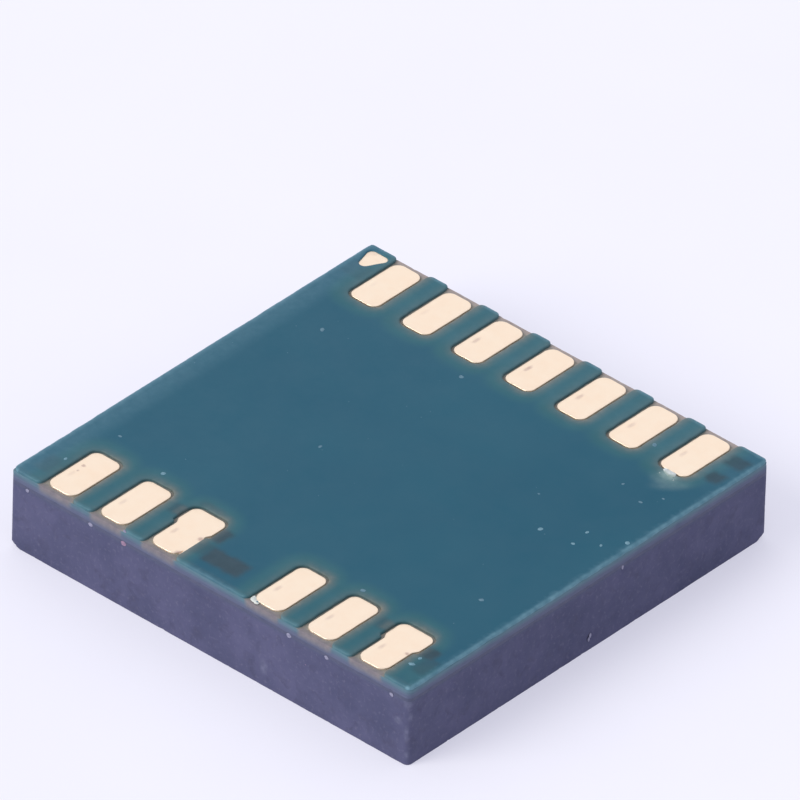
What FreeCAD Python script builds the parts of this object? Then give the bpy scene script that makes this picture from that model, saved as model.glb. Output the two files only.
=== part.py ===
import FreeCAD, Part
import math
import os
import Sketcher

# Isolated dual gate driver in a moulded 13-land package, lying on its moulded face.
# Millimetres. The origin is the middle of the moulded face, X runs along the rows of lands,
# +Y points to the row of seven input lands and +Z comes out of the land side.

# Driving dimensions

SIZES = {
    # land grid
    "pitch": 0.65,            # land to land along a row
    "end_margin": 0.55,       # middle of the last land to the end of the package
    "creepage": 3.50,         # bare laminate between the two rows of lands
    "land_width": 0.35,
    "land_length": 0.70,
    "land_radius": 0.09,      # corners of a land
    "land_inset": 0.05,       # outer end of a land to the side of the package
    "window_gap": 0.045,      # bare laminate round a land
    "window_radius": 0.13,    # inner corners of a mask window
    # layers
    "mould_depth": 0.73,
    "core_depth": 0.10,
    "copper": 0.020,          # copper with its nickel and gold
    "mask_cover": 0.015,      # solder mask over the copper
    # copper of the two output grounds
    "ear_width": 0.42,        # cross bar at the inner end of the land
    "ear_length": 0.28,
    "nub_width": 0.16,        # trace that runs on from the ear below the mask
    "nub_reach": 0.36,
    "stub_width": 0.28,       # wide trace below the mask beside land 11
    "stub_reach": 0.80,
    "stub_offset": 0.12,      # middle of the stub, outwards from the middle of the land
    # marker of land 1
    "marker_inset": 0.125,    # middles of the corner rounds to the package sides
    "marker_drop": 0.15,
    "marker_slant": 0.04,
    "marker_radius": 0.055,
    "marker_rim": 0.008,      # copper of the marker below the mask
    "marker_gap": 0.028,      # mask between the marker and the window of land 1
    # die side of the laminate
    "via_bore": 0.10,
    "finger_width": 0.20,
    "finger_reach": 0.60,     # via to the tip of the bond finger
    "trace_width": 0.12,
    "paddle_gap": 0.08,       # finger tips to the die paddle
    "paddle_margin": 0.10,    # paddle round its die
    "die_window": 0.06,       # mask window round a die
    "bond_window": 0.28,      # length of finger left bare for the wire
    # dies
    "die_depth": 0.20,
    "glue_depth": 0.020,
    "glue_margin": 0.03,      # die attach round its die
    "input_die_length": 2.20,
    "input_die_width": 0.75,
    "output_die_length": 1.25,
    "output_die_width": 0.75,
    # bond wires
    "pad_pitch": 0.30,        # bond pads along a die
    "link_pitch": 0.15,       # bond pads of the two wires of one isolated channel
    "pad_inset": 0.08,        # bond pads to the side of the die
    "wire": 0.025,
    "ball_width": 0.070,
    "ball_height": 0.018,
    "stitch_width": 0.045,
    "stitch_height": 0.010,
    "stitch_inset": 0.12,     # stitch to the tip of the finger
    "loop_height": 0.12,      # loop over the face of the die
    "loop_flat": 0.12,        # level run at the top of a loop
    "link_fall": 0.30,        # plan length of the last run of an isolation wire
}

# Land numbers and their places in pitches from the middle of the row
INPUT_LANDS = {1: -3, 2: -2, 3: -1, 4: 0, 5: 1, 6: 2, 7: 3}
OUTPUT_A_LANDS = {13: -3, 12: -2, 11: -1}
OUTPUT_B_LANDS = {10: 1, 9: 2, 8: 3}
MARKED_LAND = 1
STUB_LAND = 11
GROUND_LANDS = {1, 8, 11}
OUTPUT_CENTRE = {"a": -2, "b": 2}

# Lengths and places worked out from the driving dimensions

MASK_DEPTH = "(Sizes.copper + Sizes.mask_cover)"
CORE_LOW = f"(Sizes.mould_depth + {MASK_DEPTH})"
CORE_HIGH = f"({CORE_LOW} + Sizes.core_depth)"
PADDLE_FACE = f"({CORE_LOW} - Sizes.copper)"
GLUE_FACE = f"({PADDLE_FACE} - Sizes.glue_depth)"
DIE_FACE = f"({GLUE_FACE} - Sizes.die_depth)"

HALF_LENGTH = "(3 * Sizes.pitch + Sizes.end_margin)"
ROW_Y = "(Sizes.creepage / 2 + Sizes.land_length / 2)"
HALF_WIDTH = f"({ROW_Y} + Sizes.land_length / 2 + Sizes.land_inset)"
TIP_Y = f"({ROW_Y} - Sizes.finger_reach)"
PADDLE_Y = f"({TIP_Y} - Sizes.paddle_gap)"
STITCH_Y = f"({TIP_Y} + Sizes.stitch_inset)"
INPUT_DIE_Y = f"({PADDLE_Y} - Sizes.paddle_margin - Sizes.input_die_width / 2)"
OUTPUT_DIE_Y = f"({PADDLE_Y} - Sizes.paddle_margin - Sizes.output_die_width / 2)"
OUTPUT_PADDLE_HALF = (
    "(max(Sizes.output_die_length / 2; Sizes.pitch + Sizes.trace_width / 2)"
    " + Sizes.paddle_margin / 2)"
)
INPUT_PADDLE_HALF = "(Sizes.input_die_length / 2 + Sizes.paddle_margin)"

doc = FreeCAD.newDocument("gate_driver_chip")
sheet = doc.addObject("Spreadsheet::Sheet", "Sizes")
for row, (alias, number) in enumerate(SIZES.items(), start=1):
    sheet.set(f"A{row}", alias)
    sheet.set(f"B{row}", str(number))
    sheet.setAlias(f"B{row}", alias)
doc.recompute()

nodes = []


def value(expression):
    """Number that an expression has now, for the first guess of a sketch."""
    return float(sheet.evalExpression(expression))


def keep(part, label):
    """Names a finished piece and lists it for writing."""
    part.Label = label
    nodes.append(part)
    return part


# Sketches and features

def new_body(name, x="0", y="0", z="0", turned=False):
    body = doc.addObject("PartDesign::Body", name)
    if turned:
        body.Placement.Rotation = FreeCAD.Rotation(FreeCAD.Vector(0, 0, 1), 180)
    body.setExpression("Placement.Base.x", x)
    body.setExpression("Placement.Base.y", y)
    body.setExpression("Placement.Base.z", z)
    return body


def new_sketch(body, name, height="0", plane="XY_Plane"):
    sketch = body.newObject("Sketcher::SketchObject", name)
    support = next(f for f in body.Origin.OriginFeatures if f.Role == plane)
    sketch.AttachmentSupport = [(support, "")]
    sketch.MapMode = "FlatFace"
    sketch.setExpression("AttachmentOffset.Base.z", height)
    return sketch


def bind(sketch, kind, *target, expression):
    """Adds a dimension whose number follows an expression."""
    constraint = Sketcher.Constraint(kind, *target, value(expression))
    index = sketch.addConstraint(constraint)
    sketch.setExpression(f"Constraints[{index}]", expression)


def pin_point(sketch, geometry, point, x, y):
    """Holds a point of the sketch at its distances from the sketch's origin."""
    bind(sketch, "DistanceX", -1, 1, geometry, point, expression=x)
    bind(sketch, "DistanceY", -1, 1, geometry, point, expression=y)


def polyline(sketch, points, closed):
    """Draws straight lines through points given as pairs of expressions."""
    places = [FreeCAD.Vector(value(x), value(y), 0) for x, y in points]
    count = len(points) if closed else len(points) - 1
    lines = []
    for index in range(count):
        line = Part.LineSegment(places[index], places[(index + 1) % len(points)])
        lines.append(sketch.addGeometry(line))
        pin_point(sketch, lines[index], 1, *points[index])
    for index in range(1, count):
        sketch.addConstraint(Sketcher.Constraint("Coincident", lines[index - 1], 2, lines[index], 1))
    if closed:
        sketch.addConstraint(Sketcher.Constraint("Coincident", lines[-1], 2, lines[0], 1))
    else:
        pin_point(sketch, lines[-1], 2, *points[-1])


def rectangle(sketch, left, right, low, high):
    polyline(sketch, [(left, low), (right, low), (right, high), (left, high)], closed=True)


def rounded_outline(sketch, centres, radius):
    """Draws the outline at one radius round its corner centres, which are given anticlockwise."""
    reach = value(radius)
    places = [FreeCAD.Vector(value(x), value(y), 0) for x, y in centres]
    arcs = []
    lines = []
    for index, place in enumerate(places):
        before = (place - places[index - 1]).normalize()
        onward = (places[(index + 1) % len(places)] - place).normalize()
        out_before = FreeCAD.Vector(before.y, -before.x, 0)
        out_onward = FreeCAD.Vector(onward.y, -onward.x, 0)
        start = math.atan2(out_before.y, out_before.x)
        end = math.atan2(out_onward.y, out_onward.x)
        if end <= start:
            end += 2 * math.pi
        circle = Part.Circle(place, FreeCAD.Vector(0, 0, 1), reach)
        arcs.append(sketch.addGeometry(Part.ArcOfCircle(circle, start, end)))
        following = places[(index + 1) % len(places)]
        side = Part.LineSegment(place + out_onward * reach, following + out_onward * reach)
        lines.append(sketch.addGeometry(side))
    for index, arc in enumerate(arcs):
        sketch.addConstraint(Sketcher.Constraint("Tangent", arc, 2, lines[index], 1))
        sketch.addConstraint(Sketcher.Constraint("Tangent", lines[index - 1], 2, arc, 1))
        pin_point(sketch, arc, 3, *centres[index])
        if index:
            sketch.addConstraint(Sketcher.Constraint("Equal", arcs[0], arc))
    bind(sketch, "Radius", arcs[0], expression=radius)


def rounded_rectangle(sketch, left, right, low, high, radius):
    centres = [
        (f"{left} + {radius}", f"{low} + {radius}"),
        (f"{right} - {radius}", f"{low} + {radius}"),
        (f"{right} - {radius}", f"{high} - {radius}"),
        (f"{left} + {radius}", f"{high} - {radius}"),
    ]
    rounded_outline(sketch, centres, radius)


def circle(sketch, diameter, x="0", y="0"):
    middle = FreeCAD.Vector(value(x), value(y), 0)
    ring = Part.Circle(middle, FreeCAD.Vector(0, 0, 1), value(diameter) / 2)
    index = sketch.addGeometry(ring)
    pin_point(sketch, index, 3, x, y)
    bind(sketch, "Diameter", index, expression=diameter)


def octagon(sketch, across):
    """Draws eight equal flats, the width given from flat to flat."""
    flat = f"{across} / 2"
    corner = f"{across} / 2 * tan(180 deg / 8)"
    points = [
        (flat, f"-{corner}"), (flat, corner), (corner, flat), (f"-{corner}", flat),
        (f"-{flat}", corner), (f"-{flat}", f"-{corner}"), (f"-{corner}", f"-{flat}"),
        (corner, f"-{flat}"),
    ]
    polyline(sketch, points, closed=True)


def pad(body, sketch, depth, downwards=False):
    feature = body.newObject("PartDesign::Pad", f"{sketch.Name}_pad")
    feature.Profile = sketch
    feature.setExpression("Length", depth)
    feature.Reversed = downwards
    return feature


def cut_through(body, sketch):
    """Pockets the sketch upwards through the whole body and checks that it took something away."""
    feature = body.newObject("PartDesign::Pocket", f"{sketch.Name}_pocket")
    feature.Profile = sketch
    feature.Type = "ThroughAll"
    feature.Reversed = True
    doc.recompute()
    if feature.Shape.Volume >= feature.BaseFeature.Shape.Volume:
        raise ValueError(f"{feature.Name} cuts nothing")
    return feature


def repeat_along_row(body, feature, sketch, copies):
    pattern = body.newObject("PartDesign::LinearPattern", f"{feature.Name}_row")
    pattern.Originals = [feature]
    pattern.Direction = (sketch, ["H_Axis"])
    pattern.Occurrences = copies
    pattern.setExpression("Length", f"Sizes.pitch * {copies - 1}")
    body.Tip = pattern
    return pattern


def new_box(name, x, y, z, length, width, height):
    """Box centred on x and y that stands on z."""
    box = doc.addObject("Part::Box", name)
    box.setExpression("Length", length)
    box.setExpression("Width", width)
    box.setExpression("Height", height)
    box.setExpression("Placement.Base.x", f"{x} - {length} / 2")
    box.setExpression("Placement.Base.y", f"{y} - {width} / 2")
    box.setExpression("Placement.Base.z", z)
    return box


def cut_away(name, base, tools):
    """Takes the joined tools out of the base."""
    joined = doc.addObject("Part::MultiFuse", f"{name}_tools")
    joined.Shapes = tools
    cut = doc.addObject("Part::Cut", name)
    cut.Base = base
    cut.Tool = joined
    cut.Refine = True
    return cut


# Terminals: each is one piece of plated copper, a land, the filled via under it and the
# bond finger on the die side. Their own frame has the via at its origin on the outer face of
# the core and +Y outwards.

def draw_land(body):
    sketch = new_sketch(body, f"{body.Name}_land")
    half_width = "Sizes.land_width / 2"
    half_length = "Sizes.land_length / 2"
    rounded_rectangle(sketch, f"-{half_width}", half_width, f"-{half_length}", half_length,
                      "Sizes.land_radius")
    pad(body, sketch, "Sizes.copper")


def draw_via(body):
    sketch = new_sketch(body, f"{body.Name}_via")
    circle(sketch, "Sizes.via_bore")
    pad(body, sketch, "Sizes.core_depth", downwards=True)


def inner_copper(body, name, left, right, low, high):
    """Rectangle of copper on the die side."""
    sketch = new_sketch(body, f"{body.Name}_{name}", height="-Sizes.core_depth")
    rectangle(sketch, left, right, low, high)
    pad(body, sketch, "Sizes.copper", downwards=True)


def draw_finger(body):
    half = "Sizes.finger_width / 2"
    inner_copper(body, "finger", f"-{half}", half, "-Sizes.finger_reach", half)


def draw_input_paddle(body):
    """Ground trace from the finger of land 1 down and across to the paddle of the input die."""
    half_trace = "Sizes.trace_width / 2"
    middle_y = f"({INPUT_DIE_Y} - {ROW_Y})"
    middle_x = "3 * Sizes.pitch"
    half_width = "(Sizes.input_die_width / 2 + Sizes.paddle_margin)"
    inner_copper(body, "trace", f"-{half_trace}", half_trace,
                 f"{middle_y} - {half_trace}", "-Sizes.finger_reach / 2")
    inner_copper(body, "bar", f"-{half_trace}", middle_x,
                 f"{middle_y} - {half_trace}", f"{middle_y} + {half_trace}")
    inner_copper(body, "paddle", f"{middle_x} - {INPUT_PADDLE_HALF}",
                 f"{middle_x} + {INPUT_PADDLE_HALF}",
                 f"{middle_y} - {half_width}", f"{middle_y} + {half_width}")


def draw_output_paddle(body):
    """Ground trace from the finger straight in to the paddle of an output die."""
    half_trace = "Sizes.trace_width / 2"
    middle_y = f"({OUTPUT_DIE_Y} - {ROW_Y})"
    half_width = "(Sizes.output_die_width / 2 + Sizes.paddle_margin)"
    inner_copper(body, "trace", f"-{half_trace}", half_trace, middle_y, "-Sizes.finger_reach / 2")
    inner_copper(body, "paddle", f"Sizes.pitch - {OUTPUT_PADDLE_HALF}",
                 f"Sizes.pitch + {OUTPUT_PADDLE_HALF}",
                 f"{middle_y} - {half_width}", f"{middle_y} + {half_width}")


def draw_ear(body):
    """Cross bar at the inner end of a ground land, with traces that run on below the mask."""
    inner_end = "-Sizes.land_length / 2"
    ear = new_sketch(body, f"{body.Name}_ear")
    rounded_rectangle(ear, "-Sizes.ear_width / 2", "Sizes.ear_width / 2",
                      inner_end, f"{inner_end} + Sizes.ear_length", "Sizes.land_radius")
    pad(body, ear, "Sizes.copper")
    nub = new_sketch(body, f"{body.Name}_nub")
    middle = f"{inner_end} + Sizes.ear_length / 2"
    rectangle(nub, "-Sizes.nub_reach", "Sizes.nub_reach",
              f"{middle} - Sizes.nub_width / 2", f"{middle} + Sizes.nub_width / 2")
    pad(body, nub, "Sizes.copper")


def draw_stub(body):
    """Wide trace below the mask, from land 11 towards the middle of the row."""
    sketch = new_sketch(body, f"{body.Name}_stub")
    half = "Sizes.stub_width / 2"
    rectangle(sketch, "-Sizes.stub_reach", "0",
              f"Sizes.stub_offset - {half}", f"Sizes.stub_offset + {half}")
    pad(body, sketch, "Sizes.copper")


def make_terminal(number, place, output_side):
    y = f"-{ROW_Y}" if output_side else ROW_Y
    body = new_body(f"terminal_{number:02d}", f"{place} * Sizes.pitch", y, CORE_HIGH,
                    turned=output_side)
    draw_land(body)
    draw_via(body)
    draw_finger(body)
    if number in GROUND_LANDS and output_side:
        draw_output_paddle(body)
        draw_ear(body)
    elif number in GROUND_LANDS:
        draw_input_paddle(body)
    if number == STUB_LAND:
        draw_stub(body)
    return keep(body, f"terminal_{number:02d}")


terminals = {}
for number, place in INPUT_LANDS.items():
    terminals[number] = make_terminal(number, place, output_side=False)
for number, place in {**OUTPUT_A_LANDS, **OUTPUT_B_LANDS}.items():
    terminals[number] = make_terminal(number, place, output_side=True)


# Marker of land 1: a small plated triangle in the corner beside it, in a frame whose origin is
# the corner of the package.

MARKER_RIGHT = (
    "(Sizes.end_margin - Sizes.land_width / 2 - Sizes.window_gap - Sizes.marker_gap"
    " - Sizes.marker_radius)"
)
MARKER_TOP = "-Sizes.marker_inset"
MARKER_CORNERS = [
    ("Sizes.marker_inset", MARKER_TOP),
    ("Sizes.marker_inset + Sizes.marker_slant", f"{MARKER_TOP} - Sizes.marker_drop"),
    (MARKER_RIGHT, MARKER_TOP),
]


def make_marker():
    body = new_body("pin_one_marker", f"-{HALF_LENGTH}", HALF_WIDTH, CORE_HIGH)
    sketch = new_sketch(body, "marker_outline")
    rounded_outline(sketch, MARKER_CORNERS, "Sizes.marker_radius + Sizes.marker_rim")
    pad(body, sketch, "Sizes.copper")
    return keep(body, "pin_one_marker")


marker = make_marker()


# Laminate: the glass core and the solder mask on its two faces

def package_plate(name, z, depth):
    """Plate over the whole package, drawn with its lower face on the body's XY plane."""
    body = new_body(name, z=z)
    sketch = new_sketch(body, f"{name}_outline")
    rectangle(sketch, f"-{HALF_LENGTH}", HALF_LENGTH, f"-{HALF_WIDTH}", HALF_WIDTH)
    pad(body, sketch, depth)
    return body


LAND_RUNS = (
    ("input", min(INPUT_LANDS.values()), len(INPUT_LANDS), ""),
    ("output_a", min(OUTPUT_A_LANDS.values()), len(OUTPUT_A_LANDS), "-"),
    ("output_b", min(OUTPUT_B_LANDS.values()), len(OUTPUT_B_LANDS), "-"),
)


def make_core():
    body = package_plate("laminate_core", CORE_LOW, "Sizes.core_depth")
    for run, first, copies, side in LAND_RUNS:
        sketch = new_sketch(body, f"core_{run}_via")
        circle(sketch, "Sizes.via_bore", f"{first} * Sizes.pitch", f"{side}{ROW_Y}")
        repeat_along_row(body, cut_through(body, sketch), sketch, copies)
    return keep(body, "laminate_core")


def window_limits(side):
    """Inner and outer end of a land window, which runs out over the side of the package."""
    inner = f"({ROW_Y} - Sizes.land_length / 2 - Sizes.window_gap)"
    outer = f"({HALF_WIDTH} + Sizes.window_radius)"
    return (f"-{outer}", f"-{inner}") if side == "-" else (inner, outer)


def make_outer_mask():
    """Mask of the land side, notched from its two long sides so that each land lies bare."""
    body = package_plate("outer_mask_plate", CORE_HIGH, MASK_DEPTH)
    half = "(Sizes.land_width / 2 + Sizes.window_gap)"
    for run, first, copies, side in LAND_RUNS:
        sketch = new_sketch(body, f"mask_{run}_window")
        middle = f"{first} * Sizes.pitch"
        low, high = window_limits(side)
        rounded_rectangle(sketch, f"{middle} - {half}", f"{middle} + {half}", low, high,
                          "Sizes.window_radius")
        repeat_along_row(body, cut_through(body, sketch), sketch, copies)
    window = new_sketch(body, "mask_marker_window")
    corners = [(f"{x} - {HALF_LENGTH}", f"{y} + {HALF_WIDTH}") for x, y in MARKER_CORNERS]
    rounded_outline(window, corners, "Sizes.marker_radius")
    cut_through(body, window)
    buried = [marker] + [terminals[number] for number in sorted(GROUND_LANDS - {MARKED_LAND})]
    return keep(cut_away("outer_solder_mask", body, buried), "outer_solder_mask")


def mask_window(body, name, left, right, low, high):
    sketch = new_sketch(body, name)
    rectangle(sketch, left, right, low, high)
    cut_through(body, sketch)


def make_inner_mask():
    """Mask of the die side, open over the bond fingers and the dies."""
    body = package_plate("inner_mask_plate", f"({CORE_LOW} - {MASK_DEPTH})", MASK_DEPTH)
    margin = "(Sizes.finger_width / 2 + Sizes.window_gap)"
    near = f"({TIP_Y} - Sizes.window_gap)"
    far = f"({TIP_Y} + Sizes.bond_window)"
    for run, first, copies, side in LAND_RUNS:
        left = f"{first} * Sizes.pitch - {margin}"
        right = f"{first + copies - 1} * Sizes.pitch + {margin}"
        low, high = (f"-{far}", f"-{near}") if side == "-" else (near, far)
        mask_window(body, f"{run}_bond_window", left, right, low, high)
    for name, (x, y, length, width) in DIES.items():
        half_length = f"({length} / 2 + Sizes.die_window)"
        half_width = f"({width} / 2 + Sizes.die_window)"
        mask_window(body, f"{name}_window", f"{x} - {half_length}", f"{x} + {half_length}",
                    f"{y} - {half_width}", f"{y} + {half_width}")
    tools = list(terminals.values())
    return keep(cut_away("inner_solder_mask", body, tools), "inner_solder_mask")


# Dies: each hangs face down from its paddle on a film of die attach

DIES = {
    "input_die": ("0", INPUT_DIE_Y, "Sizes.input_die_length", "Sizes.input_die_width"),
    "output_die_a": (f"{OUTPUT_CENTRE['a']} * Sizes.pitch", f"-{OUTPUT_DIE_Y}",
                     "Sizes.output_die_length", "Sizes.output_die_width"),
    "output_die_b": (f"{OUTPUT_CENTRE['b']} * Sizes.pitch", f"-{OUTPUT_DIE_Y}",
                     "Sizes.output_die_length", "Sizes.output_die_width"),
}


def make_dies():
    made = []
    for name, (x, y, length, width) in DIES.items():
        die = new_box(name, x, y, DIE_FACE, length, width, "Sizes.die_depth")
        glue = new_box(f"{name}_attach", x, y, GLUE_FACE, f"({length} + 2 * Sizes.glue_margin)",
                       f"({width} + 2 * Sizes.glue_margin)", "Sizes.glue_depth")
        made.append(keep(die, name))
        made.append(keep(glue, f"{name}_attach"))
    return made


# Bond wires: a ball on the die, a loop below its face and a flattened stitch at the far end.
# The round of so fine a wire is drawn as eight flats. Their own frame has the ball at its
# origin, +X towards the stitch and the die above.

def make_wire(name, ball, stitch, seat, kink):
    """Wire from ball to stitch, both (x, y); seat is the height of the stitched face over the
    face of the die and kink tells where the level run ends."""
    across = f"({stitch[0]} - ({ball[0]}))"
    along = f"({stitch[1]} - ({ball[1]}))"
    span = f"hypot({across}; {along})"
    body = new_body(name, ball[0], ball[1], DIE_FACE)
    body.setExpression("Placement.Rotation.Angle", f"atan2({along}; {across})")

    ball_sketch = new_sketch(body, f"{name}_ball")
    octagon(ball_sketch, "Sizes.ball_width")
    pad(body, ball_sketch, "Sizes.ball_height", downwards=True)

    level = kink.format(span=span)
    slope = f"(({span} - {level}) / ({seat} + Sizes.loop_height))"
    route = new_sketch(body, f"{name}_route", plane="XZ_Plane")
    polyline(route, [
        ("0", "0"),
        ("0", "-Sizes.loop_height"),
        (level, "-Sizes.loop_height"),
        (f"{span} + Sizes.wire * {slope}", f"{seat} + Sizes.wire"),
    ], closed=False)
    section = new_sketch(body, f"{name}_section")
    octagon(section, "Sizes.wire")
    run = body.newObject("PartDesign::AdditivePipe", f"{name}_run")
    run.Profile = section
    run.Spine = (route, ["Edge1", "Edge2", "Edge3"])
    run.Transition = "Right corner"

    end = new_sketch(body, f"{name}_end", height=seat)
    reach = f"(Sizes.wire * (2 + {slope}))"
    rectangle(end, f"{level}", f"{span} + 2 * {reach}", f"-{reach}", reach)
    cut_through(body, end)

    foot = new_sketch(body, f"{name}_stitch", height=seat)
    rectangle(foot, f"{span} - Sizes.stitch_width / 2", f"{span} + Sizes.stitch_width",
              "-Sizes.stitch_width / 2", "Sizes.stitch_width / 2")
    pad(body, foot, "Sizes.stitch_height", downwards=True)
    return keep(body, name)


def make_finger_wires():
    """Wires from the bond pads along the outer side of each die to the bond fingers."""
    made = []
    seat = "(Sizes.die_depth + Sizes.glue_depth)"
    groups = (
        (INPUT_LANDS, 0, INPUT_DIE_Y, "Sizes.input_die_width", ""),
        (OUTPUT_A_LANDS, OUTPUT_CENTRE["a"], OUTPUT_DIE_Y, "Sizes.output_die_width", "-"),
        (OUTPUT_B_LANDS, OUTPUT_CENTRE["b"], OUTPUT_DIE_Y, "Sizes.output_die_width", "-"),
    )
    for lands, centre, die_y, die_width, side in groups:
        for number, place in lands.items():
            ball_x = f"({centre} * Sizes.pitch + {place - centre} * Sizes.pad_pitch)"
            ball_y = f"{side}({die_y} + {die_width} / 2 - Sizes.pad_inset)"
            stitch = (f"{place} * Sizes.pitch", f"{side}{STITCH_Y}")
            made.append(make_wire(f"bond_wire_{number:02d}", (ball_x, ball_y), stitch, seat,
                                  "Sizes.loop_flat"))
    return made


def make_isolation_wires():
    """Two wires for each channel, over the gap from the input die to its output die."""
    made = []
    ball_y = f"({INPUT_DIE_Y} - Sizes.input_die_width / 2 + Sizes.pad_inset)"
    stitch_y = f"-({OUTPUT_DIE_Y} - Sizes.output_die_width / 2 + Sizes.pad_inset)"
    input_end = "(Sizes.input_die_length / 2 - Sizes.pad_inset)"
    output_end = f"({OUTPUT_CENTRE['b']} * Sizes.pitch - Sizes.output_die_length / 2 + Sizes.pad_inset)"
    for channel, side in (("a", "-"), ("b", "")):
        for number in (1, 2):
            ball_x = f"{side}({input_end} - {2 - number} * Sizes.link_pitch)"
            stitch_x = f"{side}({output_end} + {number - 1} * Sizes.link_pitch)"
            made.append(make_wire(f"isolation_wire_{channel}{number}", (ball_x, ball_y),
                                  (stitch_x, stitch_y), "0", "({span} - Sizes.link_fall)"))
    return made


core = make_core()
outer_mask = make_outer_mask()
inner_mask = make_inner_mask()
dies = make_dies()
wires = make_finger_wires() + make_isolation_wires()


# Mould compound: fills everything below the core that the other pieces leave

def make_mould():
    block = new_box("mould_block", "0", "0", "0", f"(2 * {HALF_LENGTH})", f"(2 * {HALF_WIDTH})",
                    CORE_LOW)
    tools = [inner_mask, *terminals.values(), *dies, *wires]
    return keep(cut_away("mould_compound", block, tools), "mould_compound")


make_mould()
doc.recompute()

# Checks and files

for item in doc.Objects:
    if {"Invalid", "Error"} & set(item.State):
        raise ValueError(f"{item.Label} failed: {item.State}")
for node in nodes:
    if node.Shape.isNull() or not node.Shape.isValid():
        raise ValueError(f"{node.Label} has no valid shape")
    if len(node.Shape.Solids) != 1:
        raise ValueError(f"{node.Label} has {len(node.Shape.Solids)} solids, not one")

os.makedirs("parts", exist_ok=True)
for node in nodes:
    node.Shape.exportStep(f"parts/{node.Label}.step")
print(f"{len(nodes)} pieces written")
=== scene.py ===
import math
import random

import bpy
import numpy as np
from mathutils import Matrix, Vector, kdtree, noise
from mathutils.geometry import delaunay_2d_cdt


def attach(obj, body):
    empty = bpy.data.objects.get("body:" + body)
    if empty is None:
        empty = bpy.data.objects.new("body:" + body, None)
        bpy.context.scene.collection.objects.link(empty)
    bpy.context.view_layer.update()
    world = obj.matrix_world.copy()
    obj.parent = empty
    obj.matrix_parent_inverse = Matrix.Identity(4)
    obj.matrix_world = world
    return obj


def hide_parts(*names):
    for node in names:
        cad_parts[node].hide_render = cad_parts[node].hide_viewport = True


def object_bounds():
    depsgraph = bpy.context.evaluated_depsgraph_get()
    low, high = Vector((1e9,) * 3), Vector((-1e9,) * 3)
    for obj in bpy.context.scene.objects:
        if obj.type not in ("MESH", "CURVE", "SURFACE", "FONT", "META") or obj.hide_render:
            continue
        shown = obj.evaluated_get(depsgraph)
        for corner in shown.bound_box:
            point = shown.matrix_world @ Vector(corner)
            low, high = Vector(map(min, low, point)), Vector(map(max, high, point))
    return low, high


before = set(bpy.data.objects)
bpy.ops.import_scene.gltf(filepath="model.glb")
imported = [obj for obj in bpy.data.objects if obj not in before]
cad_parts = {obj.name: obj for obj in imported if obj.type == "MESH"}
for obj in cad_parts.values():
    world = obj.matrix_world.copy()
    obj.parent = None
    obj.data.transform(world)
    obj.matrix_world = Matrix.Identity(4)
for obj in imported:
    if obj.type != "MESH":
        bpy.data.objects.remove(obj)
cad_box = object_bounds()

# Looks of an isolated gate driver chip that lies on its moulded face, lands up. Lengths are in
# millimetres, in the frame of the CAD part, until a mesh is made of them. The near side of the
# package is at -Y, by the two runs of three lands, and its right side at +X.

MM = 0.001
SAME_POINT = 1e-7         # points of an outline that lie closer are joined
NO_AREA = 1e-10           # smaller triangles are left out
FLUSH = 1e-3              # CAD corners that lie closer to a plane are on it

rng = random.Random(13)


def levels(node):
    """Lowest and highest level of a CAD node."""
    heights = [corner[2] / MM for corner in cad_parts[node].bound_box]
    return round(min(heights), 3), round(max(heights), 3)


# Package and layers, from the frame

HALF = round(cad_box[1][0] / MM, 3)           # middle to a side of the package
PACKAGE_TOP = round(cad_box[1][2] / MM, 3)
MOULD_TOP = levels("inner_solder_mask")[0]
CORE_LOW, CORE_TOP = levels("laminate_core")
COPPER_TOP = levels("terminal_01")[1]
MASK_LEVEL = PACKAGE_TOP - 0.0044             # general level of the sagging mask

# Lands, and the mask windows that run out over the side of the package

PITCH = 0.65
ROW_Y = 2.10              # middle to the middles of a row of lands
INPUT_LANDS = {1: -3, 2: -2, 3: -1, 4: 0, 5: 1, 6: 2, 7: 3}
OUTPUT_LANDS = {13: -3, 12: -2, 11: -1, 10: 1, 9: 2, 8: 3}
LANDS = {**INPUT_LANDS, **OUTPUT_LANDS}        # number: place in pitches from the row's middle
LAND_WIDTH, LAND_LENGTH = 0.35, 0.70
LAND_EXTRA = 0.006        # the inner end of a land lies this much farther in
OUTER_RADIUS, INNER_RADIUS = 0.105, 0.087      # corners of a land
EARED_LANDS = (8, 11)
EAR_HALF, EAR_LENGTH, EAR_RADIUS = 0.21, 0.28, 0.04
EAR_SLANT = 0.03          # half the length of the shoulder between land and ear
WINDOW_HALF, WINDOW_INNER, WINDOW_RADIUS = 0.194, 1.722, 0.105
EAR_WINDOW, EAR_END, EAR_CORNER = 0.23, 2.050, 0.018     # window round an ear
FINGER_RADIUS = 0.06      # corners of the mask fingers between the windows
TRACE_LAND = 11
TRACE = [                 # x, y, corner radius from the middle of the land: below the mask
    (LAND_WIDTH / 2, -0.30, 0.006), (0.214, -0.285, 0.020), (0.80, -0.26, 0.010),
    (0.80, 0.02, 0.010), (0.196, 0.02, 0.008),
]
MARKER = [(-2.375, 2.375), (-2.335, 2.225), (-2.253, 2.375)]      # middles of its corner rounds
MARKER_RADIUS, MARKER_WINDOW = 0.063, 0.055


# Outlines and meshes

def ripple(x, y, z, scale, seed=0.0):
    """Smooth noise from -1 to 1 with features about 1 / scale millimetres wide."""
    return noise.noise(Vector((x * scale + seed, y * scale - seed, z * scale + seed)))


def blend(value, low, high):
    """Smooth step from 0 at low to 1 at high."""
    t = min(1.0, max(0.0, (value - low) / (high - low)))
    return t * t * (3 - 2 * t)


def reach(x, y, cx, cy, half_x, half_y):
    """Distance from the middle of an oval spot, 1 on its rim."""
    return math.hypot((x - cx) / half_x, (y - cy) / half_y)


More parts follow.
